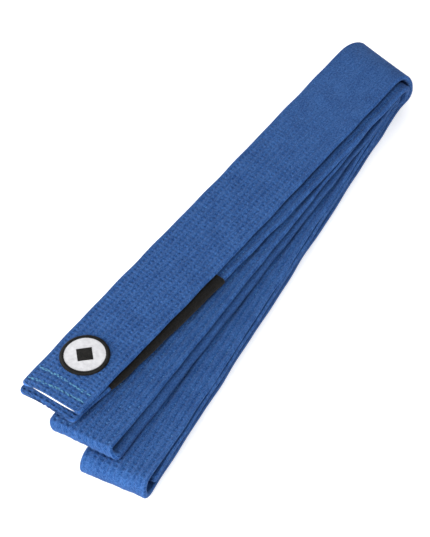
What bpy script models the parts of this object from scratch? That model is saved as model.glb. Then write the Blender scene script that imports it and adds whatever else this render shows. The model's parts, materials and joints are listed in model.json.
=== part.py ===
"""A folded martial arts belt: one quilted cotton strap folded into eight layers, built in Blender.

The strap is folded in half three times. Layer 1, on top, ends in the badge end, and layer 2 under it ends in
the rank bar end. Layers 3 and 4 are joined by a turn at the near end, and so are 5 and 8, and 6 and 7 inside
them. At the far end four turns lie inside each other: 1 to 8, 2 to 7, 3 to 6 and 4 to 5. The layers fan out
towards the near end. Y runs along the bottom layers towards the far turns, Z is up, and the origin is on the
ground under the middle of the whole belt. Lengths are in metres and angles in degrees.
"""

import math

import bmesh
import bpy
import numpy as np
from mathutils import Vector

# The strap's own section
strapWidth = 0.040
strapThickness = 0.0033
coverWall = 0.0008
edgeRadius = 0.0012
threadDiameter = 0.0003
fitGap = 0.0003  # between a piece and what it fits in or lies on
plyGap = 0.0004  # between two plain layers of the pile

# How far each part of the pile reaches from the line where the far turns start
farLineY = 0.316
badgeEndReach = 0.287
barEndReach = 0.291
middleReach = 0.295
lowerReach = 0.303
innerTurnSetback = 0.0070  # the inner near turn stands this far behind the outer one
leadIn = 0.004  # the straight part of each far turn

# Quilting, and the two cross rows that close each end
rowCount = 9
rowMargin = 0.0032  # from the strap's edge to the first row
hemRowsAt = (0.0055, 0.0125)  # from the end of the strap
hemClearance = 0.0015  # from the last cross row to where the long rows start

# Rank bar sleeve
sleeveLength = 0.095
sleeveFromEnd = 0.029
sleeveWall = 0.0005

# Badge
badgeDiameter = 0.0275
badgeFromEnd = 0.0315
badgeSide = -0.0018
badgeBacking = 0.0006
badgeField = 0.0005
borderWidth = 0.0027
borderHeight = 0.0014
emblemSize = 0.0120

# Numbers of sections and sides
turnSections = 14
runSections = 3
bowedSections = 9
edgeSides = 3
badgeSides = 40
crownSides = 6

threadedGap = fitGap + threadDiameter + fitGap
sleeveGap = threadedGap + sleeveWall + fitGap

# The layers from the bottom up: number, angle in plan, sideways place at the far line, and the gap under it
layerTable = (
    (8, 0.0, 0.0000, 0.0),
    (7, 0.0, -0.0003, plyGap),
    (6, 0.1, 0.0004, plyGap),
    (5, 0.0, 0.0000, plyGap),
    (4, -4.3, 0.0021, threadedGap),
    (3, -4.9, 0.0006, plyGap),
    (2, -10.7, 0.0051, sleeveGap),
    (1, -9.5, 0.0002, sleeveGap),
)
layerBow = {1: 0.0008, 2: 0.0034}  # how far a layer bows sideways between its two ends

# The far turns: upper and lower layer, angle in plan of the turn's outermost line, and extra depth of the turn
farTurnTable = (
    (1, 8, -20.0, 0.0048),
    (2, 7, -14.0, 0.0022),
    (3, 6, -8.0, 0.0010),
    (4, 5, -6.0, 0.0),
)


class Layer:
    """One run of the strap, lying flat. It is straight, or bows a little to one side between its two ends."""

    def __init__(self, angle, offset, height, bow):
        turned = math.radians(angle)
        self.angle = angle
        self.bow = bow
        self.start = Vector((offset, farLineY, height))
        self.towardsNear = Vector((math.sin(turned), -math.cos(turned), 0))
        self.sideways = Vector((math.cos(turned), math.sin(turned), 0))

    def point(self, reach):
        bowed = self.bow * math.sin(math.pi * reach / barEndReach)
        return self.start + self.towardsNear * reach + self.sideways * bowed


class Frame:
    """A place on the strap's middle line, with its sideways direction and the way its face looks."""

    def __init__(self, place, sideways, face):
        self.place = place
        self.sideways = sideways
        self.face = face

    def at(self, across, out):
        return self.place + self.sideways * across + self.face * out


def pileOfLayers():
    """Every layer by number, each resting on the one below it with its gap."""
    layers = {}
    height = 0.0
    for number, angle, offset, gapUnder in layerTable:
        height += gapUnder
        layers[number] = Layer(angle, offset, height + strapThickness / 2, layerBow.get(number, 0.0))
        height += strapThickness
    return layers


def runFrames(layer, first, last, face):
    """Frames along one layer from reach first to reach last. face is 1 where the strap looks up, -1 down."""
    frames = []
    sections = bowedSections if layer.bow else runSections
    for step in range(sections):
        reach = first + (last - first) * step / (sections - 1)
        frames.append(Frame(layer.point(reach), layer.sideways, Vector((0, 0, face))))
    return frames


def turnFrames(upper, lower, reach, outward, depth, apexAngle):
    """Frames over a half turn from layer upper to layer lower, which starts at the given reach.

    outward is 1 for a near turn and -1 for a far one. The turn is half an ellipse: its half height comes from
    the two layers, and its depth is that plus depth. Its outermost line has the angle apexAngle in plan.
    """
    top, bottom = upper.point(reach), lower.point(reach)
    halfHeight = (top.z - bottom.z) / 2
    reachOut = halfHeight + depth
    frames = []
    for step in range(turnSections + 1):
        swing = math.pi * (0.5 - step / turnSections)
        share = (1 - math.sin(swing)) / 2
        angle = upper.angle + (lower.angle - upper.angle) * share
        angle += (apexAngle - (upper.angle + lower.angle) / 2) * math.cos(swing) ** 2
        turned = math.radians(angle)
        ahead = Vector((math.sin(turned), -math.cos(turned), 0)) * outward
        sideways = Vector((math.cos(turned), math.sin(turned), 0))
        place = top.lerp(bottom, share)
        place.z = (top.z + bottom.z) / 2 + halfHeight * math.sin(swing)
        place += ahead * (reachOut * math.cos(swing))
        face = ahead * (halfHeight * math.cos(swing)) + Vector((0, 0, reachOut * math.sin(swing)))
        frames.append(Frame(place, sideways, face.normalized()))
    return frames


def material(name, colour, roughness):
    made = bpy.data.materials.new(name)
    made.use_nodes = True
    surface = made.node_tree.nodes["Principled BSDF"]
    surface.inputs["Base Color"].default_value = (*colour, 1)
    surface.inputs["Roughness"].default_value = roughness
    surface.inputs["Metallic"].default_value = 0.0
    return made


def newObject(name, data, finish, parent):
    made = bpy.data.objects.new(name, data)
    made.data.materials.append(finish)
    made.parent = parent
    bpy.data.collections["Martial arts belt"].objects.link(made)
    return made


def roundedOutline(halfWidth, low, high, radius):
    """A rounded rectangle as (across, out) pairs, from -halfWidth to halfWidth and from low to high."""
    corners = (
        (halfWidth - radius, high - radius, 0),
        (radius - halfWidth, high - radius, 1),
        (radius - halfWidth, low + radius, 2),
        (halfWidth - radius, low + radius, 3),
    )
    points = []
    for across, out, quarter in corners:
        for step in range(edgeSides + 1):
            turn = math.pi / 2 * (quarter + step / edgeSides)
            points.append((across + radius * math.cos(turn), out + radius * math.sin(turn)))
    return points


def sweep(name, frames, outline, bore, finish, parent):
    """The outline carried along the frames: a tube with open ends if it has a bore, and a solid strip if not."""
    work = bmesh.new()
    count = len(outline)
    walls = []
    for shape in (outline, bore) if bore else (outline,):
        rings = [[work.verts.new(frame.at(*pair)) for pair in shape] for frame in frames]
        for ring, following in zip(rings, rings[1:]):
            for side in range(count):
                after = (side + 1) % count
                work.faces.new((ring[side], ring[after], following[after], following[side]))
        walls.append(rings)
    for end in (0, -1):
        if not bore:
            work.faces.new(walls[0][end])
            continue
        outer, inner = walls[0][end], walls[1][end]
        for side in range(count):
            after = (side + 1) % count
            work.faces.new((outer[side], outer[after], inner[after], inner[side]))
    bmesh.ops.recalc_face_normals(work, faces=work.faces)
    mesh = bpy.data.meshes.new(name)
    work.to_mesh(mesh)
    work.free()
    return newObject(name, mesh, finish, parent)


def cover(name, frames, finish, parent):
    """The woven casing round one stretch of the strap."""
    half = strapThickness / 2
    outline = roundedOutline(strapWidth / 2, -half, half, edgeRadius)
    bore = roundedOutline(strapWidth / 2 - coverWall, coverWall - half, half - coverWall, edgeRadius - coverWall)
    return sweep(name, frames, outline, bore, finish, parent)


def core(name, frames, finish, parent):
    """The stiff ply inside one stretch of the strap."""
    inset = coverWall + fitGap
    halfWidth = strapWidth / 2 - inset
    halfHeight = strapThickness / 2 - inset
    outline = ((halfWidth, halfHeight), (-halfWidth, halfHeight), (-halfWidth, -halfHeight), (halfWidth, -halfHeight))
    return sweep(name, frames, outline, None, finish, parent)


def thread(name, points, finish, parent):
    """A sewing thread along the points."""
    curve = bpy.data.curves.new(name, "CURVE")
    curve.dimensions = "3D"
    curve.bevel_depth = threadDiameter / 2
    curve.bevel_resolution = 1
    curve.use_fill_caps = True
    line = curve.splines.new("POLY")
    line.points.add(len(points) - 1)
    line.points.foreach_set("co", np.array([(*point, 1.0) for point in points]).ravel())
    return newObject(name, curve, finish, parent)


def threadHeight():
    return strapThickness / 2 + fitGap + threadDiameter / 2


def quilting(name, frames, finish, parent):
    """The long rows on one face of the strap as one thread that goes up one row and down the next."""
    halfWidth = strapWidth / 2 - rowMargin
    points = []
    for row in range(rowCount):
        across = -halfWidth + 2 * halfWidth * row / (rowCount - 1)
        along = frames if row % 2 == 0 else frames[::-1]
        points += [frame.at(across, threadHeight()) for frame in along]
    return thread(name, points, finish, parent)


def hemRows(name, layer, endReach, finish, parent):
    """The two cross rows at an end of the strap, as one thread across, along the edge and back."""
    halfWidth = strapWidth / 2 - rowMargin
    points = []
    for fromEnd, side in zip(hemRowsAt, (-1, 1)):
        frame = Frame(layer.point(endReach - fromEnd), layer.sideways, Vector((0, 0, 1)))
        points += [frame.at(side * halfWidth, threadHeight()), frame.at(-side * halfWidth, threadHeight())]
    return thread(name, points, finish, parent)


def strapStretch(name, frames, finishes, parent):
    """A stretch of the strap: its cover and the core inside it."""
    cover(name + "_cover", frames, finishes["cover"], parent)
    core(name + "_core", frames, finishes["core"], parent)


def rankBar(layer, finish, parent):
    """The black sleeve round the rank bar end. It goes over the quilting thread on the layer's upper face."""
    first = barEndReach - sleeveFromEnd
    frames = runFrames(layer, first, first - sleeveLength, 1)
    side = strapWidth / 2 + fitGap
    low = -strapThickness / 2 - fitGap
    high = strapThickness / 2 + threadedGap
    bore = roundedOutline(side, low, high, edgeRadius)
    outline = roundedOutline(side + sleeveWall, low - sleeveWall, high + sleeveWall, edgeRadius + sleeveWall)
    sweep("rank_bar_sleeve", frames, outline, bore, finish, parent)


def placedMesh(name, work, place, turn, finish, parent):
    """An object with the mesh under construction, standing at place and turned about Z."""
    mesh = bpy.data.meshes.new(name)
    work.to_mesh(mesh)
    work.free()
    made = newObject(name, mesh, finish, parent)
    made.location = place
    made.rotation_euler.z = turn
    return made


def disc(name, radius, thickness, sides, place, turn, finish, parent):
    """A flat round or many-sided piece whose underside is at place."""
    work = bmesh.new()
    bmesh.ops.create_cone(work, cap_ends=True, segments=sides, radius1=radius, radius2=radius, depth=thickness)
    bmesh.ops.translate(work, verts=work.verts, vec=(0, 0, thickness / 2))
    return placedMesh(name, work, place, turn, finish, parent)


def borderRing(place, turn, finish, parent):
    """The whipped edge of the badge: a round-topped profile turned about the badge's axis by a Screw modifier."""
    inner = badgeDiameter / 2 - borderWidth
    shoulder = borderHeight / 2
    profile = [(badgeDiameter / 2, shoulder), (badgeDiameter / 2, 0.0), (inner, 0.0), (inner, shoulder)]
    middle = (inner + badgeDiameter / 2) / 2
    for step in range(1, crownSides):
        swing = math.pi * step / crownSides
        profile.append((middle - borderWidth / 2 * math.cos(swing), shoulder + shoulder * math.sin(swing)))
    work = bmesh.new()
    line = [work.verts.new((across, 0, up)) for across, up in profile]
    for first, second in zip(line, line[1:] + line[:1]):
        work.edges.new((first, second))
    made = placedMesh("badge_border", work, place, turn, finish, parent)
    screw = made.modifiers.new("turn", "SCREW")
    screw.angle = 2 * math.pi
    screw.steps = badgeSides
    screw.render_steps = badgeSides
    screw.use_merge_vertices = True
    screw.merge_threshold = 0.00001
    return made


def badge(layer, finishes, parent):
    """The embroidered badge: a backing cloth, a white field round a black lozenge, and a whipped border."""
    frame = Frame(layer.point(badgeEndReach - badgeFromEnd), layer.sideways, Vector((0, 0, 1)))
    turn = math.radians(layer.angle)
    seat = frame.at(badgeSide, strapThickness / 2 + threadedGap)
    fieldRadius = badgeDiameter / 2 - borderWidth - fitGap
    disc("badge_backing", fieldRadius, badgeBacking, badgeSides, seat, turn, finishes["backing"], parent)
    above = seat + Vector((0, 0, badgeBacking + fitGap))
    field = disc("badge_field", fieldRadius, badgeField, badgeSides, above, turn, finishes["badgeWhite"], parent)
    disc("badge_emblem", emblemSize / 2, badgeField, 4, above, turn, finishes["badgeBlack"], parent)
    borderRing(seat, turn, finishes["badgeBlack"], parent)
    opening = disc("emblem_opening", emblemSize / 2 + fitGap * math.sqrt(2), 3 * badgeField, 4,
                   above - Vector((0, 0, badgeField)), turn, finishes["badgeBlack"], parent)
    bpy.data.collections["Martial arts belt"].objects.unlink(opening)
    bpy.data.collections["Cutters"].objects.link(opening)
    opening.hide_render = True
    opening.display_type = "WIRE"
    cut = field.modifiers.new("emblem opening", "BOOLEAN")
    cut.object = opening
    cut.operation = "DIFFERENCE"
    cut.solver = "EXACT"


def emptyAt(name, place, parent):
    made = bpy.data.objects.new(name, None)
    made.location = place
    made.parent = parent
    bpy.data.collections["Martial arts belt"].objects.link(made)
    return made


def liftingBody(name, axisPlace, parent):
    """A hinge empty on the fold's axis, and under it an empty that gives its pieces the pile's own coordinates."""
    hinge = emptyAt(name + "_hinge", axisPlace, parent)
    return emptyAt(name + "_pieces", -axisPlace, hinge)


def lowerStack(layers, finishes, parent):
    """Layers 5 to 8, which lie still on the ground, with their two near turns."""
    outerRadius = (layers[5].start.z - layers[8].start.z) / 2
    outerReach = lowerReach - outerRadius - strapThickness / 2
    innerReach = outerReach - innerTurnSetback
    first = leadIn + fitGap
    for name, upper, lower, reach in (("lower_outer", 5, 8, outerReach), ("lower_inner", 6, 7, innerReach)):
        top, bottom = layers[upper], layers[lower]
        frames = runFrames(top, first, reach, 1)[:-1]
        frames += turnFrames(top, bottom, reach, 1, 0, (top.angle + bottom.angle) / 2)
        frames += runFrames(bottom, reach, first, -1)[1:]
        strapStretch(name, frames, finishes, parent)
    sewn = runFrames(layers[5], first, outerReach, 1)[:-1]
    sewn += turnFrames(layers[5], layers[8], outerReach, 1, 0, 0)[: turnSections // 2 + 1]
    quilting("lower_outer_stitching", sewn, finishes["thread"], parent)


def middlePair(layers, finishes, parent):
    """Layers 3 and 4 with the near turn that joins them."""
    top, bottom = layers[3], layers[4]
    reach = middleReach - (top.start.z - bottom.start.z) / 2 - strapThickness / 2
    first = leadIn + fitGap
    turn = turnFrames(top, bottom, reach, 1, 0, (top.angle + bottom.angle) / 2)
    topRun = runFrames(top, first, reach, 1)[:-1]
    strapStretch("middle", topRun + turn + runFrames(bottom, reach, first, -1)[1:], finishes, parent)
    quilting("middle_stitching", topRun + turn[: turnSections // 2 + 1], finishes["thread"], parent)


def strapEnd(name, layer, endReach, finishes, parent):
    """A single top layer that ends at the near end, with its long rows and the two cross rows that close it."""
    first = leadIn + fitGap
    strapStretch(name, runFrames(layer, first, endReach, 1), finishes, parent)
    lastRow = endReach - max(hemRowsAt) - hemClearance
    quilting(name + "_stitching", runFrames(layer, first, lastRow, 1), finishes["thread"], parent)
    hemRows(name + "_hem_stitching", layer, endReach, finishes["thread"], parent)


def farTurns(layers, finishes, parent):
    """The four turns inside each other at the far end. They bend when the layers above them are lifted."""
    for upper, lower, apexAngle, depth in farTurnTable:
        top, bottom = layers[upper], layers[lower]
        frames = runFrames(top, leadIn, 0, 1)[:-1]
        frames += turnFrames(top, bottom, 0, -1, depth, apexAngle)
        frames += runFrames(bottom, 0, leadIn, -1)[1:]
        strapStretch(f"far_turn_{upper}_{lower}", frames, finishes, parent)


def centreOnOrigin(base):
    """Moves the whole belt so that the origin is on the ground under the middle of its box."""
    bpy.context.view_layer.update()
    view = bpy.context.evaluated_depsgraph_get()
    corners = []
    for made in bpy.data.collections["Martial arts belt"].objects:
        if made.type != "EMPTY":
            seen = made.evaluated_get(view)
            mesh = seen.to_mesh()
            corners += [seen.matrix_world @ vertex.co for vertex in mesh.vertices]
            seen.to_mesh_clear()
    places = np.array(corners)
    low, high = places.min(axis=0), places.max(axis=0)
    base.location = (-(low[0] + high[0]) / 2, -(low[1] + high[1]) / 2, -low[2])


def main():
    for made in list(bpy.data.objects):
        bpy.data.objects.remove(made, do_unlink=True)
    for name in ("Martial arts belt", "Cutters"):
        group = bpy.data.collections.new(name)
        bpy.context.scene.collection.children.link(group)
    finishes = {
        "cover": material("blue cotton", (0.06, 0.16, 0.42), 0.85),
        "core": material("white core ply", (0.80, 0.80, 0.78), 0.90),
        "thread": material("pale blue thread", (0.12, 0.32, 0.60), 0.60),
        "backing": material("badge backing cloth", (0.05, 0.05, 0.05), 0.90),
        "badgeWhite": material("white embroidery", (0.78, 0.78, 0.80), 0.60),
        "badgeBlack": material("black embroidery", (0.02, 0.02, 0.02), 0.60),
        "bar": material("black cotton", (0.015, 0.013, 0.012), 0.90),
    }
    layers = pileOfLayers()
    base = emptyAt("belt", (0, 0, 0), None)
    axisHeight = layers[4].start.z - strapThickness / 2 - fitGap
    axisPlace = Vector((0, farLineY, axisHeight))
    middle = liftingBody("middle_pair", axisPlace, base)
    barEnd = liftingBody("bar_end", axisPlace, middle)
    badgeEnd = liftingBody("badge_end", axisPlace, barEnd)
    lowerStack(layers, finishes, base)
    farTurns(layers, finishes, base)
    middlePair(layers, finishes, middle)
    strapEnd("bar_end", layers[2], barEndReach, finishes, barEnd)
    rankBar(layers[2], finishes["bar"], barEnd)
    strapEnd("badge_end", layers[1], badgeEndReach, finishes, badgeEnd)
    badge(layers[1], finishes, badgeEnd)
    centreOnOrigin(base)


main()
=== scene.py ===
import json
import math

import bpy
import numpy as np
from mathutils import Matrix


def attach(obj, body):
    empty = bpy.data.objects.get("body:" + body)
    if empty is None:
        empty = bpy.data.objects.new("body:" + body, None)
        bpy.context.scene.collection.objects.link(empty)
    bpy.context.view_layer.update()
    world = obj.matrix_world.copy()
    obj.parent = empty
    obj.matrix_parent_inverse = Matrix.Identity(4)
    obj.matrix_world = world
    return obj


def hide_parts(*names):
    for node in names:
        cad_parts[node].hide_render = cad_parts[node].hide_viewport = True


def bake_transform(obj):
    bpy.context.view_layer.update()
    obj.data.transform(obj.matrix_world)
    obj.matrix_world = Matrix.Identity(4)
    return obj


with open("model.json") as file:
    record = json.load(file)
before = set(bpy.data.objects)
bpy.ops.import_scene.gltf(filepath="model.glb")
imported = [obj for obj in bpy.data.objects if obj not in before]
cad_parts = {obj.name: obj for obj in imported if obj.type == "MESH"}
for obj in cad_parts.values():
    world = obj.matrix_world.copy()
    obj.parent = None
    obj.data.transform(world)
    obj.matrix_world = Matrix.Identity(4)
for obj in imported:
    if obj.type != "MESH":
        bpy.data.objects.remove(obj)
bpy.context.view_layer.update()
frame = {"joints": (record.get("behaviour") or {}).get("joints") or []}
print("belt: frame loaded")

# Camera: where it looks from, turned about its own line of sight, its focal length in sensor heights, and the
# place it looks at, measured from the hinge of the lifting layers
viewer = dict(azimuth=28.8, elevation=51.5, roll=-1.5, distance=2.0, focal=6.741,
              aim=(-0.0149, -0.1560, 0.0010), sensor=36, farClip=20)

# The pile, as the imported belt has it: every place is measured from the line where the far turns start
pile = dict(width=0.040, thickness=0.0033, farGap=0.004, badgeEnd=0.287, barEnd=0.291, middleEnd=0.295,
            lowerEnd=0.303, innerSetback=0.0070, liftFrom=0.250, liftTo=0.287)
bow = {1: 0.0008, 2: 0.0034}  # how far a layer bows sideways between its two ends
lift = {3: 0.0010, 4: -0.0004, 5: 0.0006}  # how far a layer rises or sinks where it runs into its near turn
layerTable = {  # layer: angle in plan, sideways place at the far line, height of its middle
    8: (0.0, 0.0000, 0.00165), 7: (0.0, -0.0003, 0.00535), 6: (0.1, 0.0004, 0.00905), 5: (0.0, 0.0000, 0.01275),
    4: (-4.3, 0.0021, 0.01695), 3: (-4.9, 0.0006, 0.02065), 2: (-10.7, 0.0051, 0.02565), 1: (-9.5, 0.0002, 0.03065)}

# The woven cover with its quilting. joinEase is how far from a join the slow unevenness begins.
cover = dict(edge=0.0010, rows=9, rowMargin=0.0032, groove=0.00075, grooveWidth=0.00090, stitch=0.0026,
             pucker=0.85, tight=0.35, swell=0.00010, edgeWave=0.00022, fineStep=0.00065, step=0.00087, uvUnit=0.01,
             uvEdge=0.0008, joinEase=0.015)
hinge = next(joint for joint in frame["joints"] if joint["name"] == "middle_lift")["pos_m"]


def unit(vectors):
    # each vector divided by its own length
    return vectors / np.linalg.norm(vectors, axis=-1, keepdims=True)


def smooth(value, low, high):
    # 0 below low, 1 above high, and 3t^2 - 2t^3 between them
    t = np.clip((value - low) / (high - low), 0, 1)
    return t * t * (3 - 2 * t)


def runPath(number, first, last, looks, step):
    # place = far line point + reach * direction towards the near end, plus the layer's bow as half a sine wave
    angle, offset, height = layerTable[number]
    turned = math.radians(angle)
    reach = np.linspace(first, last, max(2, int(abs(last - first) / step) + 1))[:, None]
    start = np.array([hinge[0] + offset, hinge[1], height])
    towardsNear = np.array([math.sin(turned), -math.cos(turned), 0])
    side = np.broadcast_to([math.cos(turned), math.sin(turned), 0], (len(reach), 3))
    place = start + reach * towardsNear + side * bow.get(number, 0) * np.sin(math.pi * reach / pile["barEnd"])
    place[:, 2:] += lift.get(number, 0) * smooth(reach, pile["liftFrom"], pile["liftTo"])
    face = np.broadcast_to([0, 0, float(looks)], place.shape)
    return dict(place=place, side=side, face=face)


def turnPath(upper, lower, reach, outward, depth, apexAngle, step, power=1.0):
    # half ellipse from the upper layer to the lower: height = half height * sin(swing) ^ power, and the way out
    # = (half height + depth) * cos(swing) ^ power, squarer for a power below 1, while the plan angle passes
    # through apexAngle in the middle
    top = runPath(upper, reach, reach + step, 1, step)["place"][0]
    bottom = runPath(lower, reach, reach + step, 1, step)["place"][0]
    half = (top[2] - bottom[2]) / 2
    out = half + depth
    count = max(16, int(math.pi * (half + depth / 2) / step / 6) * 6)
    swing = np.linspace(math.pi / 2, -math.pi / 2, count + 1)[:, None]
    share = (1 - np.sin(swing)) / 2
    angles = layerTable[upper][0], layerTable[lower][0]
    plan = angles[0] + (angles[1] - angles[0]) * share + (apexAngle - sum(angles) / 2) * np.cos(swing) ** 2
    turned = np.radians(plan)
    zero = np.zeros_like(turned)
    ahead = np.concatenate([np.sin(turned), -np.cos(turned), zero], axis=1) * outward
    side = np.concatenate([np.cos(turned), np.sin(turned), zero], axis=1)
    place = top + (bottom - top) * share
    rise = half * np.sign(np.sin(swing)) * np.abs(np.sin(swing)) ** power
    wayOut = out * np.clip(np.cos(swing), 0, 1) ** power
    place[:, 2:] = (top[2] + bottom[2]) / 2 + rise
    place = place + ahead * wayOut
    face = unit(ahead * -np.gradient(rise, axis=0) + np.array([0, 0, 1.0]) * np.gradient(wayOut, axis=0))
    face[[0, -1]] = [[0, 0, 1.0], [0, 0, -1.0]]
    return dict(place=place, side=side, face=face)


def leaned(path):
    # below the hinge a far turn is drawn in: y + lean * height above the hinge, fading to nothing along its
    # two leads. Its face is square to the changed path.
    place = path["place"].copy()
    share = np.clip(1 - (hinge[1] - place[:, 1]) / pile["farGap"], 0, 1)
    place[:, 1] += farLean * np.minimum(place[:, 2] - hinge[2], 0) * share
    face = unit(np.cross(path["side"], np.gradient(place, axis=0)))
    face *= np.sign(np.einsum("ij,ij->i", face, path["face"]))[:, None]
    return dict(place=place, side=path["side"], face=face)


def joined(*paths):
    # one path from several, each starting where the last one ended
    kept = [paths[0]] + [{key: value[1:] for key, value in path.items()} for path in paths[1:]]
    return {key: np.concatenate([path[key] for path in kept]) for key in ("place", "side", "face")}


def gone(path):
    # distance gone along the path at each of its places
    return np.concatenate([[0], np.cumsum(np.linalg.norm(np.diff(path["place"], axis=0), axis=1))])


def rowPlaces():
    # the quilting rows, spread evenly between the two margins
    half = pile["width"] / 2 - cover["rowMargin"]
    return np.linspace(-half, half, cover["rows"])


section = dict(nearRow=(-0.36, -0.21, -0.1, 0, 0.1, 0.21, 0.36, 0.5), firstIn=0.0006, plainIn=0.001, bendPoints=10,
               plainPoints=25)


def outline(plainBelow=False):
    # the strap's section as points around it: both faces sampled more finely near each row, and half ellipses
    # at the two edges; out is given as a share of half the thickness. A hidden lower face may be plain.
    rows = rowPlaces()
    pitch = rows[1] - rows[0]
    near = np.array(section["nearRow"]) * pitch
    flat = pile["width"] / 2 - cover["edge"]
    across = (rows[:, None] + near).ravel()
    inside = across[across > -flat + section["plainIn"]]
    across = np.concatenate([[-flat, -flat + section["firstIn"]], inside, [flat - section["firstIn"], flat]])
    across = np.unique(across[(across >= -flat) & (across <= flat)])
    bend = np.linspace(math.pi / 2, -math.pi / 2, section["bendPoints"])[1:-1]
    edge = flat + cover["edge"] * np.cos(bend)
    below = np.linspace(flat, -flat, section["plainPoints"]) if plainBelow else across[::-1]
    return (np.concatenate([across, edge, below, -edge[::-1]]),
            np.concatenate([np.ones_like(across), np.sin(bend), -np.ones_like(below), np.sin(bend)[::-1]]))


def pressed(across, along):
    # how far a face lies below full thickness: a bell-shaped groove along every row, deeper at each needle hole
    apart = np.abs(across[..., None] - rowPlaces()).min(axis=-1)
    bell = np.exp(-((apart / cover["grooveWidth"]) ** 2))
    return cover["groove"] * bell * (1 - cover["pucker"] * np.cos(2 * math.pi * along / cover["stitch"]))


# Slow waves: the least and the most radians per metre along and across the strap, then the phase
swellWaves = dict(low=(90, -700, 0), high=(620, 700, 6.28), count=9)
edgeWaves = dict(low=(25, 0), high=(260, 6.28), count=5)


def swelling(across, along, seed):
    # slow unevenness of the filling: a sum of sine waves that run both ways
    waves = np.random.default_rng(seed).uniform(swellWaves["low"], swellWaves["high"], (swellWaves["count"], 3))
    total = sum(np.sin(along * k + across * m + phase) for k, m, phase in waves)
    return cover["swell"] * total / 3


def edgeWave(along, side, seed):
    # slow sideways wander of the two woven edges
    waves = np.random.default_rng(seed).uniform(edgeWaves["low"], edgeWaves["high"], (edgeWaves["count"], 2))
    return cover["edgeWave"] * sum(np.sin(along * k + phase + side) for k, phase in waves) / 2


sagPast = 1.2  # a sag goes on a little past the places it is measured between


def settled(points, sag):
    # a free corner sinks, or rises for a depth below zero: depth * (share of the way to the near end)^2 * (share
    # of the way from the held line to the edge)^2, and with a "full" height less of it further down
    if not sag:
        return points
    turned = math.radians(sag["angle"])
    start = np.array([hinge[0] + sag["offset"], hinge[1]])
    away = points[..., :2] - start
    reach = away @ np.array([math.sin(turned), -math.cos(turned)])
    across = away @ np.array([math.cos(turned), math.sin(turned)])
    near = np.clip((reach - sag["from"]) / (sag["to"] - sag["from"]), 0, sagPast) ** 2
    hand = sag.get("hand", 1)
    left = np.clip(hand * (sag["left"] - across) / (pile["width"] / 2 + hand * sag["left"]), 0, sagPast) ** 2
    share = np.clip((points[..., 2] - sag["none"]) / (sag["full"] - sag["none"]), 0, 1) if "full" in sag else 1
    sunk = points.copy()
    sunk[..., 2] -= sag["depth"] * near * left * share
    return settled(sunk, sag["then"]) if "then" in sag else sunk


def newPiece(name, vertices, faces, finish, uv=None, smoothShade=True):
    # a mesh from whole arrays; faces is a list of (count, sides) arrays of vertex numbers, turned outwards
    # where the sum of corner . (corner x corner) over their triangles, which is six times the volume, is below zero
    spot = np.asarray(vertices, float)
    spot = spot - spot.mean(axis=0)
    volume = 0.0
    for part in faces:
        for k in range(1, part.shape[1] - 1):
            one, two, three = spot[part[:, 0]], spot[part[:, k]], spot[part[:, k + 1]]
            volume += np.einsum("ij,ij->", one, np.cross(two, three))
    if volume < 0:
        faces = [part[:, ::-1] for part in faces]
    mesh = bpy.data.meshes.new(name)
    sizes = np.concatenate([np.full(len(part), part.shape[1]) for part in faces])
    corners = np.concatenate([part.ravel() for part in faces]).astype(np.int32)
    mesh.vertices.add(len(vertices))
    mesh.vertices.foreach_set("co", np.asarray(vertices, np.float32).ravel())
    mesh.loops.add(len(corners))
    mesh.loops.foreach_set("vertex_index", corners)
    mesh.polygons.add(len(sizes))
    mesh.polygons.foreach_set("loop_start", np.concatenate([[0], np.cumsum(sizes)[:-1]]).astype(np.int32))
    mesh.polygons.foreach_set("loop_total", sizes.astype(np.int32))
    mesh.update(calc_edges=True)
    mesh.validate()
    mesh.polygons.foreach_set("use_smooth", np.full(len(sizes), smoothShade))
    if uv is not None:
        layer = mesh.uv_layers.new(name="cloth")
        layer.data.foreach_set("uv", np.asarray(uv, np.float32)[corners].ravel())
    mesh.materials.append(finish)
    piece = bpy.data.objects.new(name, mesh)
    bpy.context.scene.collection.objects.link(piece)
    return piece


def tubeFaces(rings, around):
    # quads between neighbouring rings, and a fan to the last two vertices, which close the ends
    ring, point = np.meshgrid(np.arange(rings - 1), np.arange(around), indexing="ij")
    after = (point + 1) % around
    quads = np.stack([ring * around + point, (ring + 1) * around + point, (ring + 1) * around + after,
                      ring * around + after], axis=-1).reshape(-1, 4)
    one = np.arange(around)
    two = (one + 1) % around
    first, last = rings * around, rings * around + 1
    startFan = np.stack([np.full(around, first), one, two], axis=1)
    base = (rings - 1) * around
    endFan = np.stack([np.full(around, last), base + two, base + one], axis=1)
    return [quads, startFan, endFan]


def ringFaces(rings, around):
    # quads of a closed ring: the last section joins on to the first
    ring, point = np.meshgrid(np.arange(rings), np.arange(around), indexing="ij")
    nextRing, nextPoint = (ring + 1) % rings, (point + 1) % around
    quads = np.stack([ring * around + point, nextRing * around + point, nextRing * around + nextPoint,
                      ring * around + nextPoint], axis=-1).reshape(-1, 4)
    return [quads]


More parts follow.
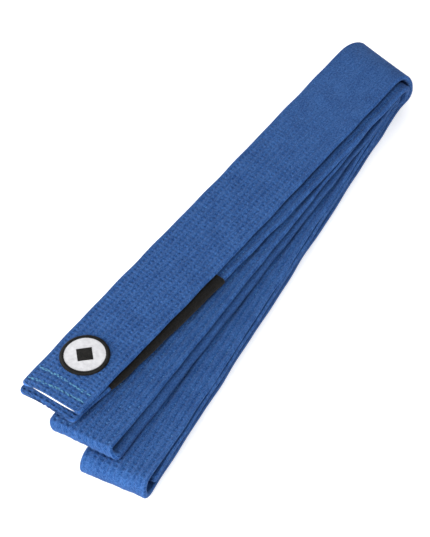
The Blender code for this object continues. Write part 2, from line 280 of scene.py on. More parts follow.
def strap(name, path, finish, seed, sag=None, hem=None, calm=False, plainBelow=False, quilted=1.0):
    # section carried along the path: point = place + side * across + face * out. hem shapes a free end. The slow
    # unevenness fades to nothing where another stretch joins on, and a calm stretch has none.
    across0, out0 = outline(plainBelow)
    along = gone(path)
    ease = smooth(along, 0, cover["joinEase"]) * (1 if hem else smooth(along[-1] - along, 0, cover["joinEase"]))
    ease = (np.zeros_like(along) if calm else ease)[:, None]
    place, side, face = (path[key][:, None, :] for key in ("place", "side", "face"))
    count = len(along)
    half = pile["thickness"] / 2
    wide = across0 / (pile["width"] / 2)
    across = np.broadcast_to(across0, (count, len(across0))).copy()
    s = along[:, None]
    fromEnd = along[-1] - s
    # the rows flatten out round a turn
    tight = quilted * (cover["tight"] + (1 - cover["tight"]) * face[..., 2] ** 2)
    swollen = ease * swelling(across0[None, :], s, seed) * (np.abs(out0) == 1)
    out = (half - tight * pressed(across0[None, :], s) + swollen) * out0
    across += ease * np.sign(across0) * np.abs(wide) ** 4 * edgeWave(s, np.sign(across0), seed)
    ahead = unit(np.gradient(path["place"], axis=0))[:, None, :]
    forward = np.zeros_like(across)
    if hem:
        for row, slant in zip(hem["rows"], hem["slants"]):
            press = np.exp(-(((fromEnd - row - across0 * slant) / hem["rowWidth"]) ** 2))
            out -= np.sign(out) * press * hem["rowDepth"] * (np.abs(across0) < pile["width"] / 2 - hem["rowMargin"])
        radius = hem["corner"]
        inset = radius - np.sqrt(np.clip(radius ** 2 - np.clip(radius - fromEnd, 0, radius) ** 2, 0, None))
        across *= 1 - inset / (pile["width"] / 2)
        forward += across * hem["skew"] * (1 - smooth(fromEnd, 0, hem["skewOver"]))
        rounding = hem["round"]
        inEnd = np.clip(rounding - fromEnd, 0, rounding) / rounding
        out *= 1 - hem["thin"] * (1 - np.sqrt(1 - inEnd ** 2))
        if hem.get("gape"):
            bulge = hem["gape"] * (1 - wide ** 2) * (1 - smooth(fromEnd, 0, hem["gapeOver"]))
            out -= bulge * (out0 < 0)
    points = place + side * across[..., None] + face * out[..., None] + ahead * forward[..., None]
    aroundUv = (across0 + out0 * cover["uvEdge"])[None, :] / cover["uvUnit"]
    uv = np.stack(np.broadcast_arrays(s / cover["uvUnit"], aroundUv), axis=-1)
    if hem and hem.get("mouth"):
        extra, mouth = [], hem["mouth"]
        round0 = np.sqrt(np.clip(1 - wide ** 2, 0, 1))
        for scale, back in mouth["rings"]:
            lensAcross = across0 * mouth["width"] * scale + mouth["shift"]
            lensOut = mouth["centre"] * round0 + mouth["height"] * out0 * round0 * scale
            extra.append(place[-1] + side[-1] * lensAcross[:, None] + face[-1] * lensOut[:, None]
                         + ahead[-1] * (forward[-1] * mouth["width"] * scale - back)[:, None])
        points = np.concatenate([points, np.array(extra)])
        uv = np.concatenate([uv, np.repeat(uv[-1:], len(extra), axis=0)])
    rings, around = points.shape[:2]
    ends = points[[0, -1]].mean(axis=1)
    vertices = settled(np.concatenate([points.reshape(-1, 3), ends]), sag)
    uv = np.concatenate([uv.reshape(-1, 2), uv[[0, -1]].mean(axis=1)])
    return newPiece(name, vertices, tubeFaces(rings, around), finish, uv)


def along(path, distance):
    # place, side, face and ahead at each distance along the path, by interpolation
    have = gone(path)
    ahead = unit(np.gradient(path["place"], axis=0))
    found = []
    for field in (path["place"], path["side"], path["face"], ahead):
        found.append(np.stack([np.interp(distance, have, field[:, axis]) for axis in range(3)], axis=-1))
    return found


def beads(name, centre, forward, side, up, size, finish, sag=None):
    # stitches: each is a short bead, radius = size * sqrt(1 - t^2) along its length, arched over the cloth
    ringsAt = np.array([-0.75, 0.0, 0.75])
    turns = np.arange(6) / 6 * 2 * math.pi
    radius = np.sqrt(1 - ringsAt ** 2) ** 0.8
    x = np.concatenate([[-1], np.repeat(ringsAt, 6), [1]])
    y = np.concatenate([[0], (radius[:, None] * np.cos(turns)).ravel(), [0]])
    z = np.concatenate([[0], (radius[:, None] * np.sin(turns)).ravel(), [0]])
    z = z * size[2] - size[3] * x ** 2
    local = (forward[:, None, :] * x[None, :, None] * size[0] + side[:, None, :] * y[None, :, None] * size[1]
             + up[:, None, :] * z[None, :, None])
    vertices = settled((centre[:, None, :] + local).reshape(-1, 3), sag)
    one, two = np.arange(6), (np.arange(6) + 1) % 6
    startFan = np.stack([np.zeros(6, int), 1 + two, 1 + one], axis=1)
    endFan = np.stack([np.full(6, 19), 13 + one, 13 + two], axis=1)
    band = np.concatenate([np.stack([1 + k + one, 1 + k + two, 7 + k + two, 7 + k + one], axis=1) for k in (0, 6)])
    shift = (np.arange(len(centre)) * 20)[:, None, None]
    faces = [(part[None] + shift).reshape(-1, part.shape[1]) for part in (startFan, endFan, band)]
    return newPiece(name, vertices, faces, finish)


thread = dict(length=0.0015, radius=0.00028, flat=0.8, arch=0.00014, lift=0.00004, jitter=0.00016, drift=0.00012)


def rowStitches(name, path, face, finish, seed, last=None, sag=None, skip=None):
    # beads spaced one stitch apart along every row, on the outer face (1) or the inner one (-1)
    total = gone(path)[-1] if last is None else last
    pitch = cover["stitch"]
    at = np.arange(pitch, total - pitch * 0.3, pitch)
    rows = rowPlaces()
    distance = np.tile(at, len(rows))
    across = np.repeat(rows, len(at))
    rng = np.random.default_rng(seed)
    distance = distance + rng.uniform(-1, 1, distance.shape) * thread["jitter"]
    across = across + rng.uniform(-1, 1, across.shape) * thread["drift"]
    if skip is not None:
        keep = ~skip(distance, across)
        distance, across = distance[keep], across[keep]
    place, side, up, ahead = along(path, distance)
    up = up * face
    height = pile["thickness"] / 2 - cover["groove"] + thread["lift"]
    centre = place + side * across[:, None] + up * height
    size = (thread["length"] / 2, thread["radius"], thread["radius"] * thread["flat"], thread["arch"])
    return beads(name, centre, ahead, side, up, size, finish, sag)


def nodeMaker(material):
    # short ways to add a node and link values into it
    tree = material.node_tree

    def add(kind, inputs=None, **settings):
        node = tree.nodes.new(kind)
        for key, value in settings.items():
            setattr(node, key, value)
        for key, value in (inputs or {}).items():
            if isinstance(value, bpy.types.NodeSocket):
                tree.links.new(value, node.inputs[key])
            else:
                node.inputs[key].default_value = value
        return node

    def calc(operation, one, two=0.0):
        return add("ShaderNodeMath", {0: one, 1: two}, operation=operation).outputs[0]

    return add, calc


def newMaterial(name, roughness, sheen=0.0):
    material = bpy.data.materials.new(name)
    material.use_nodes = True
    surface = material.node_tree.nodes["Principled BSDF"]
    surface.inputs["Roughness"].default_value = roughness
    surface.inputs["Sheen Weight"].default_value = sheen
    surface.inputs["Sheen Roughness"].default_value = 0.45
    surface.inputs["Specular IOR Level"].default_value = 0.12
    return material, surface


def link(material, source, surface, socket):
    material.node_tree.links.new(source, surface.inputs[socket])


# Quilted cotton: two blues mixed by soft mottling and by the yarns, and a twill of warp and weft as the bump
cotton = dict(deep=(0.0120, 0.060, 0.225, 1), light=(0.052, 0.162, 0.450, 1), yarn=0.062, bump=0.9, depth=0.00035,
              roughness=0.9, sheen=0.05)


def clothFinish(name, spec):
    # weave height = sine across the yarns * sine along them, shifted half a yarn to make a twill
    material, surface = newMaterial(name, spec["roughness"], spec["sheen"])
    add, calc = nodeMaker(material)
    uv = add("ShaderNodeUVMap", uv_map="cloth").outputs[0]
    parts = add("ShaderNodeSeparateXYZ", {0: uv})
    turns = 2 * math.pi / spec["yarn"]
    warp = calc("SINE", calc("MULTIPLY", parts.outputs[1], turns))
    slant = calc("SINE", calc("MULTIPLY", calc("ADD", parts.outputs[0], parts.outputs[1]), turns / 1.6))
    fuzz = add("ShaderNodeTexNoise", {"Vector": uv, "Scale": 16.0, "Detail": 4.0, "Roughness": 0.7}).outputs[0]
    weave = calc("ADD", calc("MULTIPLY", warp, 0.60), calc("MULTIPLY", slant, 0.3))
    weave = calc("ADD", weave, calc("MULTIPLY", fuzz, 1.6))
    bump = add("ShaderNodeBump", {"Strength": spec["bump"], "Distance": spec["depth"], "Height": weave})
    link(material, bump.outputs[0], surface, "Normal")
    stretch = add("ShaderNodeMapping", {"Vector": uv, "Scale": (1.2, 9.0, 1.0)}).outputs[0]
    streaks = add("ShaderNodeTexNoise", {"Vector": stretch, "Scale": 2.2, "Detail": 3.0}).outputs[0]
    cloud = add("ShaderNodeTexNoise", {"Vector": uv, "Scale": 0.9, "Detail": 2.0}).outputs[0]
    grain = add("ShaderNodeTexNoise", {"Vector": uv, "Scale": 9.0, "Detail": 3.0, "Roughness": 0.8}).outputs[0]
    tone = calc("ADD", calc("MULTIPLY", streaks, 0.45), calc("MULTIPLY", cloud, 0.30))
    tone = calc("ADD", tone, calc("MULTIPLY", fuzz, 0.9))
    tone = calc("ADD", tone, calc("MULTIPLY", grain, 1.3))
    tone = calc("ADD", tone, calc("MULTIPLY", calc("ADD", warp, slant), 0.06))
    ramp = add("ShaderNodeMapRange", {"Value": tone, "From Min": 1.30, "From Max": 1.68})
    mix = add("ShaderNodeMix", {"Factor": ramp.outputs[0], "A": spec["deep"], "B": spec["light"]}, data_type="RGBA")
    link(material, mix.outputs["Result"], surface, "Base Color")
    return material


def threadFinish(name, colours, roughness, twist, sheen=0.3):
    # spun thread: fine noise in Object space for the twist, and a little change of tone from stitch to stitch
    material, surface = newMaterial(name, roughness, sheen)
    add, calc = nodeMaker(material)
    place = add("ShaderNodeTexCoord").outputs["Object"]
    fine = add("ShaderNodeTexNoise", {"Vector": place, "Scale": twist, "Detail": 3.0}).outputs[0]
    slow = add("ShaderNodeTexNoise", {"Vector": place, "Scale": twist / 12, "Detail": 2.0}).outputs[0]
    tone = add("ShaderNodeMapRange", {"Value": calc("ADD", fine, slow), "From Min": 0.7, "From Max": 1.3})
    mix = add("ShaderNodeMix", {"Factor": tone.outputs[0], "A": colours[0], "B": colours[1]}, data_type="RGBA")
    link(material, mix.outputs["Result"], surface, "Base Color")
    bump = add("ShaderNodeBump", {"Strength": 0.5, "Distance": 0.00005, "Height": fine})
    link(material, bump.outputs[0], surface, "Normal")
    return material


blueCloth = clothFinish("quilted blue cotton", cotton)
blueThread = threadFinish("pale blue thread", ((0.065, 0.200, 0.43, 1), (0.120, 0.320, 0.58, 1)), 0.55, 4000)
brightThread = threadFinish("bright hem thread", ((0.055, 0.175, 0.33, 1), (0.090, 0.290, 0.44, 1)), 0.5, 4000)
barCloth = clothFinish("black bar cotton", dict(deep=(0.003, 0.0026, 0.0022, 1), light=(0.011, 0.010, 0.009, 1),
                       yarn=0.055, bump=0.6, depth=0.00012, roughness=0.8, sheen=0.1))
coreFelt = threadFinish("white core ply", ((0.78, 0.78, 0.77, 1), (0.90, 0.90, 0.89, 1)), 0.95, 2500, 0.0)
whiteSatin = threadFinish("white satin stitch", ((0.46, 0.46, 0.48, 1), (0.62, 0.62, 0.64, 1)), 0.6, 5000)
blackSatin = threadFinish("black whipped thread", ((0.003, 0.003, 0.003, 1), (0.014, 0.013, 0.012, 1)), 0.5, 5000,
                          0.05)
print("belt: materials made")

# Layers 5 to 8 lie on the ground, with their two near turns
lowerReach = pile["lowerEnd"] - (layerTable[5][2] - layerTable[8][2]) / 2 - pile["thickness"] / 2


def loop(upper, lower, reach, first):
    # down one layer, round the near turn and back along the layer under it
    mean = (layerTable[upper][0] + layerTable[lower][0]) / 2
    return joined(runPath(upper, first, reach, 1, cover["step"]),
                  turnPath(upper, lower, reach, 1, 0, mean, cover["fineStep"]),
                  runPath(lower, reach, pile["farGap"], -1, cover["step"]))


lowerSag = {"angle": 0, "offset": 0, "from": 0.215, "to": 0.295, "left": 0.0, "hand": -1, "depth": -0.0026,
            "none": 0.004, "full": 0.0125}
outerLoop = loop(5, 8, lowerReach, pile["farGap"])
outer = strap("lower_outer_strap", outerLoop, blueCloth, 58, lowerSag, plainBelow=True)
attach(outer, "root")
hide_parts("lower_outer_cover", "lower_outer_core")
float(gone(outerLoop)[-1])
outerThread = rowStitches("lower_outer_thread", outerLoop, 1, blueThread, 158, sag=lowerSag)
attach(outerThread, "root")
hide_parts("lower_outer_stitching")
innerLoop = loop(6, 7, lowerReach - pile["innerSetback"], pile["farGap"])
inner = strap("lower_inner_strap", innerLoop, blueCloth, 67, plainBelow=True)
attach(inner, "root")
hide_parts("lower_inner_cover", "lower_inner_core")
float(gone(innerLoop)[-1])

# Layers 3 and 4 with their near turn; the corner that hangs past the layers under it sinks a little
middleRise = {"angle": -4.6, "offset": 0.0014, "from": 0.225, "to": 0.290, "left": 0.002, "hand": -1,
              "depth": -0.0019, "none": 0.0155, "full": 0.020}
middleSag = {"angle": -4.6, "offset": 0.0014, "from": 0.165, "to": 0.295, "left": 0.002, "depth": 0.0016,
             "then": middleRise}
middleReach = pile["middleEnd"] - (layerTable[3][2] - layerTable[4][2]) / 2 - pile["thickness"] / 2
middleLoop = joined(runPath(3, pile["farGap"], middleReach, 1, cover["step"]),
                    turnPath(3, 4, middleReach, 1, 0, -4.6, cover["fineStep"]),
                    runPath(4, middleReach, 0.0, -1, cover["step"]))
middle = strap("middle_strap", middleLoop, blueCloth, 34, middleSag, plainBelow=True)
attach(middle, "middle_pair")
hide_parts("middle_cover", "middle_core")
float(gone(middleLoop)[-1])
middleThread = rowStitches("middle_thread", middleLoop, 1, blueThread, 134, sag=middleSag)
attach(middleThread, "middle_pair")
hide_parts("middle_stitching")
print("belt: lower layers and middle pair made")

# The two free ends on top. Both sink together at the corner that nothing holds up.
topSag = {"angle": -10.1, "offset": 0.0030, "from": 0.165, "to": 0.285, "left": 0.003, "depth": 0.0035}
hemOfBar = dict(rows=(0.0055, 0.0125), slants=(0.0, 0.0), rowWidth=0.0007, rowDepth=0.00025, rowMargin=0.001,
                corner=0.0032, skew=0.010, skewOver=0.03, round=0.0014, thin=0.25)
hemOfBadge = dict(rows=(0.0055, 0.0125), slants=(0.08, -0.01), rowWidth=0.0007, rowDepth=0.00030, rowMargin=0.001,
                  corner=0.0014, skew=0.0, skewOver=0.03, round=0.0010, thin=0.10, gape=0.0012, gapeOver=0.016,
                  mouth=dict(width=0.80, shift=0.0020, height=0.00105, centre=-0.00135,
                             rings=((1.05, 0.0), (0.98, 0.0004), (0.96, 0.0030))))
hemMargin = 0.0015
topQuilting = dict(far=0.18, near=0.75)  # the top layer is pressed flatter than those below, most of all far off


endSteps = dict(fineFrom=0.018, fine=0.0004, finestFrom=0.002, finest=0.0002)


def endPath(number, end, first):
    # a straight layer whose steps become fine near its free end
    fineFrom, finestFrom = end - endSteps["fineFrom"], end - endSteps["finestFrom"]
    return joined(runPath(number, first, fineFrom, 1, cover["fineStep"] if number == 1 else cover["step"]),
                  runPath(number, fineFrom, finestFrom, 1, endSteps["fine"]),
                  runPath(number, finestFrom, end, 1, endSteps["finest"]))


hemThread = dict(spacing=0.0021, wander=0.0005, second=0.0009, apart=0.0006, drift=0.0004, margin=0.7,
                 size=(0.00095, 0.00030, 0.00024, 0.0001))


def hemStitches(name, path, hem, faces, finish, seed, sag):
    # the two cross rows: beads across the strap at each row's distance from the end
    total = gone(path)[-1]
    half = pile["width"] / 2 - cover["rowMargin"] * hemThread["margin"]
    across0 = np.arange(-half, half, hemThread["spacing"])
    wander, drift = hemThread["wander"], hemThread["drift"]
    rng = np.random.default_rng(seed)
    parts = [[], [], [], []]
    for row, slant in zip(hem["rows"], hem["slants"]):
        for repeat in range(2):
            across = across0 + rng.uniform(-wander, wander, across0.shape) + repeat * hemThread["second"]
            distance = total - row - across * slant + (repeat - 0.5) * hemThread["apart"]
            distance = distance + rng.uniform(-drift, drift, across0.shape)
            place, side, up, ahead = along(path, distance)
            height = pile["thickness"] / 2 - hem["rowDepth"] + thread["lift"]
            for face in faces:
                parts[0].append(place + side * across[:, None] + up * face * height)
                parts[1].append(side)
                parts[2].append(ahead)
                parts[3].append(up * face)
    centre, forward, side, up = (np.concatenate(part) for part in parts)
    return beads(name, centre, forward, side, up, hemThread["size"], finish, sag)


barPath = endPath(2, pile["barEnd"], pile["farGap"])
barEnd = strap("bar_end_strap", barPath, blueCloth, 21, topSag, hemOfBar)
badgePath = endPath(1, pile["badgeEnd"], pile["farGap"])
pressedLess = topQuilting["far"] + (topQuilting["near"] - topQuilting["far"]) * smooth(gone(badgePath), 0.02, 0.12)
badgeEnd = strap("badge_end_strap", badgePath, blueCloth, 11, topSag, hemOfBadge, quilted=pressedLess[:, None])
for piece, body, nodes, path in ((barEnd, "bar_end", ("bar_end_cover", "bar_end_core"), barPath),
                                 (badgeEnd, "badge_end", ("badge_end_cover",), badgePath)):
    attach(piece, body)
    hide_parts(*nodes)
    float(gone(path)[-1])

bar = dict(length=0.095, fromEnd=0.029, wall=0.0005, gap=0.00035, wave=0.00025)
badge = dict(diameter=0.0275, fromEnd=0.0315, side=-0.0018, border=0.0027, height=0.0014, emblem=0.0120)
skipMargin = 0.001  # how near the edge of the bar or the badge a row's last stitch may lie


def underBar(distance, across):
    # true where the rank bar covers the strap
    fromEnd = gone(barPath)[-1] - distance
    return (fromEnd > bar["fromEnd"] - skipMargin) & (fromEnd < bar["fromEnd"] + bar["length"] + skipMargin)


def underBadge(distance, across):
    # true where the badge covers the strap
    fromEnd = gone(badgePath)[-1] - distance
    return np.hypot(fromEnd - badge["fromEnd"], across - badge["side"]) < badge["diameter"] / 2 - skipMargin


for face, label, barSkip, badgeSkip in ((1, "top", underBar, underBadge), (-1, "under", underBar, None)):
    rowsEnd = pile["barEnd"] - pile["farGap"] - max(hemOfBar["rows"]) - hemMargin
    piece = rowStitches(f"bar_end_thread_{label}", barPath, face, blueThread, 120 + face, last=rowsEnd,
                        sag=topSag, skip=barSkip)
    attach(piece, "bar_end")
    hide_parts("bar_end_stitching")
    rowsEnd = pile["badgeEnd"] - pile["farGap"] - max(hemOfBadge["rows"]) - hemMargin
    piece = rowStitches(f"badge_end_thread_{label}", badgePath, face, blueThread, 110 + face, last=rowsEnd,
                        sag=topSag, skip=badgeSkip)
    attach(piece, "badge_end")
    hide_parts("badge_end_stitching")
piece = hemStitches("bar_end_hem_thread", barPath, hemOfBar, (1, -1), blueThread, 321, topSag)
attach(piece, "bar_end")
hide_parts("bar_end_hem_stitching")
piece = hemStitches("badge_end_hem_thread", badgePath, hemOfBadge, (1, -1), brightThread, 311, topSag)
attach(piece, "badge_end")
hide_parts("badge_end_hem_stitching")
print("belt: free ends made")

# The white ply that shows in the open end: a lens that fills the mouth, set back a little. Each of its rings has a
# scale for its height and a distance back from the end.
coreEdge = dict(fill=0.94, points=64,
                rings=((0.97, 0.006), (1.0, 0.005), (1.0, 0.001), (1.0, 0.0004), (0.96, 0.00025)))
place, side, face, ahead = along(badgePath, np.array([gone(badgePath)[-1]]))
around = np.linspace(0, 2 * math.pi, coreEdge["points"] + 1)[:-1]
mouth = hemOfBadge["mouth"]
lensAcross = np.cos(around) * pile["width"] / 2 * mouth["width"] * coreEdge["fill"] + mouth["shift"]
lensOut = mouth["centre"] * np.abs(np.sin(around)) + mouth["height"] * np.sin(around) * coreEdge["fill"]
rings = []
for scale, back in coreEdge["rings"]:
    rings.append(place + side * lensAcross[:, None] + face * (lensOut * scale)[:, None] - ahead * back)
vertices = np.concatenate(rings + [rings[0].mean(axis=0)[None], rings[-1].mean(axis=0)[None]])
core = newPiece("badge_end_core_edge", settled(vertices, topSag), tubeFaces(len(rings), coreEdge["points"]),
                coreFelt)
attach(core, "badge_end")
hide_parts("badge_end_core")


barShape = dict(rings=120, pinch=0.35, pinchOver=0.0015, edgeBand=0.002, waveRate=1.7, swell=0.4, seeds=(99, 77),
                uvEdge=0.001)


def sleeve():
    # tube with a wall: the section goes out along the outer face, turns in at the end and comes back inside
    fromEnd = np.linspace(bar["fromEnd"], bar["fromEnd"] + bar["length"], barShape["rings"])
    distance = gone(barPath)[-1] - fromEnd
    across0, out0 = outline()
    keep = slice(None, None, 2)
    across0, out0 = across0[keep], out0[keep]
    share = fromEnd[:, None] - bar["fromEnd"]
    edgeSeed, swellSeed = barShape["seeds"]
    edgeOut = edgeWave(share * barShape["waveRate"], np.sign(across0), edgeSeed) * bar["wave"] / cover["edgeWave"]
    pinch, over = barShape["pinch"], barShape["pinchOver"]
    endEase = 1 - pinch * np.exp(-share / over) - pinch * np.exp(-(bar["length"] - share) / over)
    shells = []
    for grow in (bar["gap"] + bar["wall"], bar["gap"]):
        wide = 1 + grow / (pile["width"] / 2)
        atEdge = np.abs(across0) > pile["width"] / 2 - barShape["edgeBand"]
        across = across0 * wide + np.sign(across0) * atEdge * edgeOut
        swollen = barShape["swell"] * swelling(across0 * barShape["swell"], share, swellSeed)
        out = out0 * (pile["thickness"] / 2 + grow * endEase + swollen)
        place, side, face, ahead = (field[:, None, :] for field in along(barPath, distance))
        shells.append(place + side * across[..., None] + face * out[..., None])
    points = np.concatenate([shells[0], shells[1][::-1]])
    rings, around = points.shape[:2]
    back = np.concatenate([distance, distance[::-1]])[:, None]
    uv = np.stack(np.broadcast_arrays(back, (across0 + out0 * barShape["uvEdge"])[None, :]), axis=-1)
    uv = uv / cover["uvUnit"]
    return newPiece("rank_bar", settled(points.reshape(-1, 3), topSag), ringFaces(rings, around), barCloth,
                    uv.reshape(-1, 2))


rankBar = sleeve()
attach(rankBar, "bar_end")
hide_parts("rank_bar_sleeve")
print("belt: open end and rank bar made")

# The badge: its own flat frame on top of the badge end
satin = dict(pitch=0.00040, ridge=0.00007, sharp=0.7, wraps=150, wrapRidge=0.09, wrapSlant=1.2, wrapPoints=5,
             wrapAround=14, wobble=0.00006, wobbleRates=(1900, 3, 700))
pads = dict(field=(0.0004, 0.00085), dome=0.00020, backing=(-0.0001, 0.00035), lozenge=(0.0008, 0.00110),
            crown=0.00030, fine=341, lozengeFine=181, plain=61)
badgePlace, badgeSide, badgeFace, badgeAhead = along(badgePath, np.array([gone(badgePath)[-1] - badge["fromEnd"]]))
badgeCentre = badgePlace + badgeSide * badge["side"] + badgeFace * (pile["thickness"] / 2)


def onBadge(x, y, z):
    # x across the strap, y along it, z up from its face
    spot = badgeCentre + badgeSide * x[..., None] + badgeAhead * y[..., None] + badgeFace * z[..., None]
    return settled(spot, topSag)


def padPiece(name, x, y, top, bottom, finish):
    # a sheet of stitches: its top and bottom are the same grid at two heights, closed round the edge
    rows, columns = x.shape
    sheets = onBadge(x, y, top), onBadge(x, y, np.full_like(x, bottom))
    points = np.concatenate([sheet.reshape(-1, 3) for sheet in sheets])
    number = np.arange(rows * columns).reshape(rows, columns)
    one = np.stack([number[:-1, :-1], number[1:, :-1], number[1:, 1:], number[:-1, 1:]], axis=-1).reshape(-1, 4)
    rim = np.concatenate([number[0, :-1], number[:-1, -1], number[-1, :0:-1], number[:0:-1, 0]])
    after = np.roll(rim, -1)
    wall = np.stack([rim, after, after + rows * columns, rim + rows * columns], axis=1)
    piece = newPiece(name, points, [one, one[:, ::-1] + rows * columns, wall], finish)
    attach(piece, "badge_end")
    return piece


def grid(columns):
    # two shares from -1 to 1, the first in finer steps where the ridges lie across it
    return np.meshgrid(np.linspace(-1, 1, columns), np.linspace(-1, 1, pads["plain"]), indexing="ij")


def ridged(distance):
    # satin ridges: height = ridge * |sin(pi * distance / pitch)| ^ sharp
    return satin["ridge"] * np.abs(np.sin(math.pi * distance / satin["pitch"])) ** satin["sharp"]


# White field: a square grid pressed into a disc by x = u sqrt(1 - v^2 / 2), with satin ridges along y
u, v = grid(pads["fine"])
fieldRadius = badge["diameter"] / 2 - badge["border"] * 0.6
x, y = fieldRadius * u * np.sqrt(1 - v ** 2 / 2), fieldRadius * v * np.sqrt(1 - u ** 2 / 2)
alongRate, swing, acrossRate = satin["wobbleRates"]
wobble = satin["wobble"] * np.sin(y * alongRate + swing * np.sin(x * acrossRate))
dome = pads["dome"] * (1 - (x ** 2 + y ** 2) / fieldRadius ** 2)
bottom, top = pads["field"]
field = padPiece("badge_field_satin", x, y, top + ridged(x + wobble) + dome, bottom, whiteSatin)
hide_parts("badge_field")
u, v = grid(pads["plain"])
x, y = fieldRadius * u * np.sqrt(1 - v ** 2 / 2), fieldRadius * v * np.sqrt(1 - u ** 2 / 2)
bottom, top = pads["backing"]
backing = padPiece("badge_backing_cloth", x, y, np.full_like(x, top), bottom, blackSatin)
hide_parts("badge_backing")
# Black lozenge: the square grid turned by an eighth, with ridges across it
u, v = grid(pads["lozengeFine"])
arm = badge["emblem"] / 2
x, y = (u + v) / 2 * arm, (u - v) / 2 * arm
crown = pads["crown"] * (1 - np.maximum(np.abs(u), np.abs(v)) ** 6)
bottom, top = pads["lozenge"]
emblem = padPiece("badge_lozenge", x, y, top + ridged(x + y) + crown, bottom, blackSatin)
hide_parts("badge_emblem")
# Whipped edge: a low ring, radius and height of its section rising and falling with every wrap of thread
sections = satin["wraps"] * satin["wrapPoints"]
turn, bend = np.meshgrid(np.arange(sections), np.arange(satin["wrapAround"]), indexing="ij")
turn, bend = turn / sections * 2 * math.pi, bend / satin["wrapAround"] * 2 * math.pi
wrap = 1 + satin["wrapRidge"] * np.cos(satin["wraps"] * turn + satin["wrapSlant"] * bend)
radius = badge["diameter"] / 2 - badge["border"] / 2 + badge["border"] / 2 * np.cos(bend) * wrap
up = (badge["height"] * 1.05 * np.maximum(np.sin(bend), -0.05)) * wrap
points = onBadge(radius * np.cos(turn), radius * np.sin(turn), up)
rings, around = points.shape[:2]
whipped = newPiece("badge_whipped_edge", points.reshape(-1, 3), ringFaces(rings, around), blackSatin)
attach(whipped, "badge_end")
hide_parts("badge_border")
print("belt: badge made")

# The far turns, each cut where it passes from one lifting body to the next
farLean = 0.27
farTurnPower = 0.76
turnQuilting = dict(inner=0.6, crease=0.2)
farTurns = (dict(upper=1, lower=8, apex=-20.0, depth=0.0042, bodies=("badge_end", "bar_end", "middle_pair", "root")),
            dict(upper=2, lower=7, apex=-14.0, depth=0.0022, bodies=("bar_end", "middle_pair", "root")),
            dict(upper=3, lower=6, apex=-8.0, depth=0.0010, bodies=("middle_pair", "root")))


def piecesOfPath(path, cuts):
    # the path cut at the numbered places, each of which belongs to both stretches that meet there
    return [{key: value[first:last + 1] for key, value in path.items()} for first, last in zip(cuts, cuts[1:])]


for turn in farTurns:
    upper, lower, bodies = turn["upper"], turn["lower"], turn["bodies"]
    leadIn = runPath(upper, pile["farGap"], 0, 1, cover["fineStep"])
    bend = turnPath(upper, lower, 0, -1, turn["depth"], turn["apex"], cover["fineStep"], farTurnPower)
    leadOut = runPath(lower, 0, pile["farGap"], -1, cover["fineStep"])
    whole = leaned(joined(leadIn, bend, leadOut))
    before, inTurn, parts = len(leadIn["place"]) - 1, len(bend["place"]) - 1, len(bodies) - 1
    cuts = [0] + [before + inTurn * k // parts for k in range(1, parts)] + [len(whole["place"]) - 1]
    for number, stretch in enumerate(piecesOfPath(whole, cuts)):
        label = f"far_turn_{upper}_{lower}_{number + 1}"
        quilted = topQuilting["far"] if upper == 1 else turnQuilting["inner"]
        made = [strap(label, stretch, blueCloth, 1, calm=True, quilted=quilted)]
        if upper == 1:
            made.append(rowStitches(label + "_thread", stretch, 1, blueThread, 400 + number))
        for piece in made:
            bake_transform(piece)
        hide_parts(f"far_turn_{upper}_{lower}_cover", f"far_turn_{upper}_{lower}_core")
        float(gone(stretch)[-1])

# The innermost turn is a tight crease round the lifting axis. Layer 4 unrolls over it, so all of it stays below.
crease = joined(turnPath(4, 5, 0, -1, 0.0, -6.0, cover["fineStep"] / 2),
                runPath(5, 0, pile["farGap"], -1, cover["fineStep"]))
creaseTurn = strap("far_turn_4_5", crease, blueCloth, 1, calm=True, quilted=turnQuilting["crease"])
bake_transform(creaseTurn)
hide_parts("far_turn_4_5_cover", "far_turn_4_5_core")
float(gone(crease)[-1])
print("belt: far turns made")

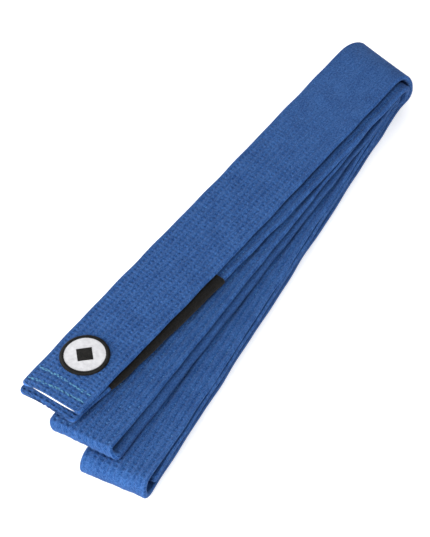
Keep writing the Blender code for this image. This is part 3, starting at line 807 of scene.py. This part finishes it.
# Floor, backdrop light and two soft boxes
studio = dict(floor=0.80, glow=0.45, world=0.70, keyPower=24.0, keySize=1.1, keyFrom=(-0.30, -1.10, 0.48),
              topPower=2.5, topSize=0.8, topFrom=(0.1, 0.1, 1.1), reach=4, ground=-0.0003)
floorMesh = bpy.data.meshes.new("floor")
reach, ground = studio["reach"], studio["ground"]
floorMesh.from_pydata([(-reach, -reach, ground), (reach, -reach, ground), (reach, reach, ground),
                       (-reach, reach, ground)], [], [(0, 1, 2, 3)])
floor = bpy.data.objects.new("floor", floorMesh)
floorPaint, paint = newMaterial("pale floor", 0.9)
paint.inputs["Base Color"].default_value = (studio["floor"],) * 3 + (1,)
paint.inputs["Emission Color"].default_value = (1, 1, 1, 1)
paint.inputs["Emission Strength"].default_value = studio["glow"]
floorMesh.materials.append(floorPaint)
bpy.context.scene.collection.objects.link(floor)

world = bpy.data.worlds.new("studio")
world.use_nodes = True
world.node_tree.nodes["Background"].inputs["Color"].default_value = (1, 1, 1, 1)
world.node_tree.nodes["Background"].inputs["Strength"].default_value = studio["world"]
bpy.context.scene.world = world


def softBox(name, power, size, place, aim):
    # a square lamp at place, with its back turned from aim
    lamp = bpy.data.lights.new(name, "AREA")
    lamp.energy, lamp.size = power, size
    holder = bpy.data.objects.new(name, lamp)
    back = unit(np.array(place, float) - np.array(aim, float))
    right = unit(np.cross([0.0, 1.0, 0.01], back))
    holder.matrix_world = Matrix(np.vstack([np.column_stack([right, np.cross(back, right), back, place]),
                                            [0, 0, 0, 1]]).tolist())
    bpy.context.scene.collection.objects.link(holder)


target = np.array(hinge) + viewer["aim"]
softBox("key", studio["keyPower"], studio["keySize"], studio["keyFrom"], target)
softBox("overhead", studio["topPower"], studio["topSize"], studio["topFrom"], target)

lensData = bpy.data.cameras.new("viewer")
lensData.sensor_width = viewer["sensor"]
lensData.lens = viewer["sensor"] * viewer["focal"]
lensData.clip_end = viewer["farClip"]
cameraPiece = bpy.data.objects.new("viewer", lensData)
azimuth, elevation, roll = (math.radians(viewer[key]) for key in ("azimuth", "elevation", "roll"))
forward = np.array([-math.sin(azimuth) * math.cos(elevation), math.cos(azimuth) * math.cos(elevation),
                    -math.sin(elevation)])
level = np.array([math.cos(azimuth), math.sin(azimuth), 0])
upright = np.cross(level, forward)
right = level * math.cos(roll) + upright * math.sin(roll)
above = upright * math.cos(roll) - level * math.sin(roll)
position = target - forward * viewer["distance"]
cameraPiece.matrix_world = Matrix(np.vstack([np.column_stack([right, above, -forward, position]),
                                             [0, 0, 0, 1]]).tolist())
bpy.context.scene.collection.objects.link(cameraPiece)
bpy.context.scene.camera = cameraPiece
bpy.context.scene.view_settings.view_transform = "Standard"
print("belt: studio made")
